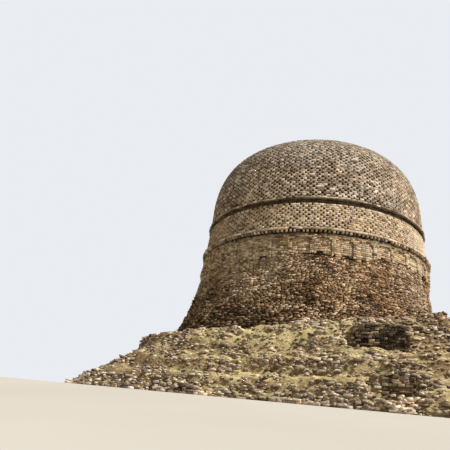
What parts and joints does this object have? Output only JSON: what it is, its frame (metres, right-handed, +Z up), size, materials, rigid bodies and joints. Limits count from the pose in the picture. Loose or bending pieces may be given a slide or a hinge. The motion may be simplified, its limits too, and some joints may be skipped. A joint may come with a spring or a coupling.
{
  "type": "stupa",
  "caption": "Ruined stone stupa: a worn square podium, a round drum with a pilaster band, cornice and string course, and a blunt dome of diaper masonry",
  "frame": {"origin": "On the axis of the drum and dome, at the lowest ground level, in the middle of the square podium's underside", "axes": "+Z is up along the axis of the dome. -Y faces out of the podium's front, the side that the picture shows, and +X out of its right side"},
  "size_m": [37.8, 37.8, 26.95],
  "materials": {
    "podium_fill": "earth and rubble fill, matt",
    "coursed_stone": "bare coursed schist, matt",
    "rubble_core": "rubble in mud mortar, matt",
    "spalled_rubble": "broken rubble face, matt",
    "slab_facing": "thin coursed schist slabs, matt",
    "schist_slabs": "weathered schist slabs, matt",
    "diaper_masonry": "diaper masonry of blocks and small slabs, matt",
    "dome_masonry": "weathered diaper masonry, matt"
  },
  "bodies": {
    "root": {"architrave_back": "schist_slabs", "architrave_front": "schist_slabs", "architrave_left": "schist_slabs", "architrave_right": "schist_slabs", "bare_wall_back": "coursed_stone", "bare_wall_front_lower": "coursed_stone", "bare_wall_front_upper": "coursed_stone", "bare_wall_left": "coursed_stone", "bare_wall_right": "coursed_stone", "cornice_back": "schist_slabs", "cornice_front": "schist_slabs", "cornice_left": "schist_slabs", "cornice_right": "schist_slabs", "dome_back": "dome_masonry", "dome_crown": "dome_masonry", "dome_front": "dome_masonry", "dome_left": "dome_masonry", "dome_right": "dome_masonry", "drum_core": "rubble_core", "foot_wall_back": "coursed_stone", "foot_wall_front": "coursed_stone", "foot_wall_left": "coursed_stone", "foot_wall_right": "coursed_stone", "panel_band_back": "slab_facing", "panel_band_front": "slab_facing", "panel_band_left": "slab_facing", "panel_band_right": "slab_facing", "podium_back": "podium_fill", "podium_bed": "podium_fill", "podium_front": "podium_fill", "podium_left": "podium_fill", "podium_right": "podium_fill", "rubble_band_back": "spalled_rubble", "rubble_band_front": "spalled_rubble", "rubble_band_left": "spalled_rubble", "rubble_band_right": "spalled_rubble", "string_course_back": "schist_slabs", "string_course_front": "schist_slabs", "string_course_left": "schist_slabs", "string_course_right": "schist_slabs", "upper_wall_back": "diaper_masonry", "upper_wall_front": "diaper_masonry", "upper_wall_left": "diaper_masonry", "upper_wall_right": "diaper_masonry"}
  },
  "joints": []
}
